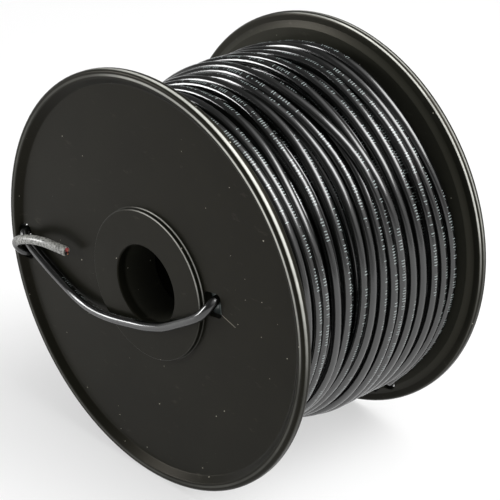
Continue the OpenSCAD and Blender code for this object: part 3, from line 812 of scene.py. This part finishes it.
# %% Jacket with a painted highlight on its end
PALE_END_FROM = START_LENGTH - 32 * MM     # from here along the cable to the cut end
PALE_END_FADE = 5 * MM             # length over which the painted highlight begins
PALE_PATCH_SIZE = 0.9 * MM
PALE_END_ROUGHNESS = 0.45
pale_end_pvc = jacket_pvc.copy()
pale_end_pvc.name = "pvc_black_scuffed_end"
tree = pale_end_pvc.node_tree
shader = next(n for n in tree.nodes if n.type == "BSDF_PRINCIPLED")
plain_colour = shader.inputs["Base Color"].links[0].from_socket
plain_roughness = shader.inputs["Roughness"].links[0].from_socket
uv = node(tree, "UVMap", {"uv_map": "along_and_round"}).outputs["UV"]
pale_end_axes = node(tree, "SeparateXYZ", Vector=uv)
scuff = node(tree, "MapRange", {"From Min": PALE_END_FROM, "From Max": PALE_END_FROM + PALE_END_FADE},
             Value=pale_end_axes.outputs["X"])
where = node(tree, "TexCoord").outputs["Object"]
pale_patches = node(tree, "TexNoise", {"Scale": 1 / PALE_PATCH_SIZE, "Detail": 3.0}, Vector=where)
pale_patches = node(tree, "MapRange", {"From Min": 0.38, "From Max": 0.66, "To Min": 0.3}, Value=pale_patches)
scuff = node(tree, "Math", {"operation": "MULTIPLY"}, in0=scuff, in1=pale_patches)
# Painted highlight: the end is painted pale, in patches.
painted_end_highlight = node(tree, "Mix", {"data_type": "RGBA", 7: colour("#b2b2ac")}, in0=scuff, in6=plain_colour)
tree.links.new(shader.inputs["Base Color"], painted_end_highlight.outputs[2])
rougher = node(tree, "MapRange", {"To Max": PALE_END_ROUGHNESS}, Value=scuff, in3=plain_roughness)
tree.links.new(shader.inputs["Roughness"], rougher.outputs["Result"])
# The painted highlight covers this last stretch.
print("scuffed over the last", round((START_LENGTH - PALE_END_FROM) / MM), "mm")

# %% [markdown]
# ### Insulation and copper at the cut end
# Inside the jacket are a red and a black conductor, whose PVC is softer and duller than the
# jacket's, and their wires are bare drawn copper. All three are one colour with a roughness that
# varies over a fine grain. The barrel, which the cable hides, gets the flanges' plastic.

# %% Conductors and copper
INSULATION_GRAIN = 0.6 * MM
DRAWING_GRAIN = 0.1 * MM        # marks that the drawing die leaves on the copper


def grained(name, hex_text, grain, detail, roughness):
    """A material of one colour, with its roughness between two values from a fine noise."""
    material, tree, shader = new_material(name)
    where = node(tree, "TexCoord").outputs["Object"]
    noise = node(tree, "TexNoise", {"Scale": 1 / grain, "Detail": detail}, Vector=where)
    rough = node(tree, "MapRange", {"To Min": roughness[0], "To Max": roughness[1]}, Value=noise)
    tree.links.new(shader.inputs["Roughness"], rough.outputs["Result"])
    shader.inputs["Base Color"].default_value = colour(hex_text)
    return material, shader


red_pvc, _ = grained("pvc_red_insulation", "#c2545a", INSULATION_GRAIN, 2.0, (0.3, 0.5))
black_pvc, _ = grained("pvc_black_insulation", "#1c1c1d", INSULATION_GRAIN, 2.0, (0.3, 0.5))
copper, shader = grained("copper_drawn_bare", "#d9a07c", DRAWING_GRAIN, 1.0, (0.25, 0.4))
shader.inputs["Metallic"].default_value = 1.0
print("copper, red and black insulation made")

# %% Give every piece its material
for piece, material in (
        (start_tail, pale_end_pvc), (finish_tail, jacket_pvc), (outer_turns, jacket_pvc),
        (lower_turns, jacket_pvc), (drum, jacket_pvc), (copper_wires, copper),
        (nodes["near_flange"], flange_plastic), (nodes["far_flange"], flange_plastic),
        (nodes["barrel"], flange_plastic), (nodes["red_conductor"], red_pvc),
        (nodes["black_conductor"], black_pvc)):
    piece.data.materials.clear()
    piece.data.materials.append(material)
    print(piece.name, "is", material.name)

# %% [markdown]
# ## Table, lamps and surroundings
# The spool lies on a pale table. Black plastic shows hardly any colour of its own: what the eye
# sees on it is the reflection of the lamps and of the table. One large softbox over the right, and
# the ceiling round it that it lights, draw the bright lines along the cable. A small one low at
# the front left lights the flange's face and the tied cable, and the world fills the rest. The
# lamps stay at a level where pale things aren't bleached, and the white of the backdrop is added
# to the table only where it is looked at or mirrored.

# %% Floor
FLOOR_Z = -FLANGE_R             # the spool lies on its two rims
FLOOR_HALF = 3.0                # half the table's width, in metres
FLOOR_LIFT = 0.55               # the table is this much paler where it is seen or mirrored
floor_corners = FLOOR_HALF * np.array([[-1, -1], [1, -1], [1, 1], [-1, 1]])
floor = add_piece("table_top", np.hstack([floor_corners, np.full((4, 1), FLOOR_Z)]), [[0, 1, 2, 3]])
floor_paint, tree, shader = new_material("table_white_laminate")
shader.inputs["Base Color"].default_value = colour("#9c9c9c")
shader.inputs["Roughness"].default_value = 0.6
path = node(tree, "LightPath")
seen = path.outputs["Is Camera Ray"]
for ray in ("Is Glossy Ray", "Is Transmission Ray"):
    seen = node(tree, "Math", {"operation": "MAXIMUM"}, in0=seen, in1=path.outputs[ray])
lift = node(tree, "Math", {"operation": "MULTIPLY", 1: FLOOR_LIFT}, in0=seen)
tree.links.new(shader.inputs["Emission Strength"], lift.outputs[0])
shader.inputs["Emission Color"].default_value = (1.0, 1.0, 1.0, 1.0)
floor.data.materials.append(floor_paint)
print("table at", round(FLOOR_Z / MM, 1), "mm")

# %% World
HORIZON_LEVEL = 0.6             # the pale backdrop all round, up to here above the horizon:
HORIZON_TOP = math.radians(3)
CEILING_LEVEL = 0.16            # the dim room above it, from here up:
CEILING_FOOT = math.radians(14)
KEY_PLACE = (1.4, 0.6, 2.1)     # the large softbox, in metres from the middle of the spool
GLOW_LEVEL = 1.0                # what the ceiling round that softbox adds, lit by it
GLOW_FULL = math.radians(26)    # as far as this from the softbox's middle, and none from here:
GLOW_NONE = math.radians(60)
key_way = Vector(KEY_PLACE).normalized()
world = bpy.data.worlds.new("studio")
scene.world = world
world.use_nodes = True
tree = world.node_tree
tree.nodes.clear()
direction = node(tree, "TexCoord").outputs["Generated"]
height = node(tree, "SeparateXYZ", Vector=direction)
level = node(tree, "MapRange",
             {"interpolation_type": "SMOOTHSTEP", "From Min": math.sin(HORIZON_TOP),
              "From Max": math.sin(CEILING_FOOT), "To Min": HORIZON_LEVEL, "To Max": CEILING_LEVEL},
             Value=height.outputs["Z"])
glow = node(tree, "VectorMath", {"operation": "DOT_PRODUCT", 1: tuple(key_way)}, in0=direction)
glow = node(tree, "MapRange",
            {"interpolation_type": "SMOOTHSTEP", "From Min": math.cos(GLOW_NONE),
             "From Max": math.cos(GLOW_FULL), "To Max": GLOW_LEVEL}, Value=glow.outputs["Value"])
level = node(tree, "Math", {"operation": "ADD"}, in0=level, in1=glow)
background = node(tree, "Background", {"Color": (1, 1, 1, 1)}, Strength=level)
node(tree, "OutputWorld", Surface=background)
print("world made, glow round", [round(v, 2) for v in key_way])


# %% Lamps
def softbox(name, place, size, power, spread):
    """A rectangular lamp turned to the spool: place and size in metres, power in watts, and the
    angle into which it shines in degrees."""
    lamp = bpy.data.lights.new(name, "AREA")
    lamp.shape = "RECTANGLE"
    lamp.size, lamp.size_y = size
    lamp.energy = power
    lamp.spread = math.radians(spread)
    stand = bpy.data.objects.new(name, lamp)
    scene.collection.objects.link(stand)
    stand.location = place
    stand.rotation_euler = (-Vector(place)).to_track_quat("-Z", "Y").to_euler()


softbox("softbox_over_right", KEY_PLACE, (2.3, 2.1), 26.0, 80)
softbox("softbox_front_left", (-1.0, -0.87, 0.35), (0.4, 0.65), 1.0, 50)
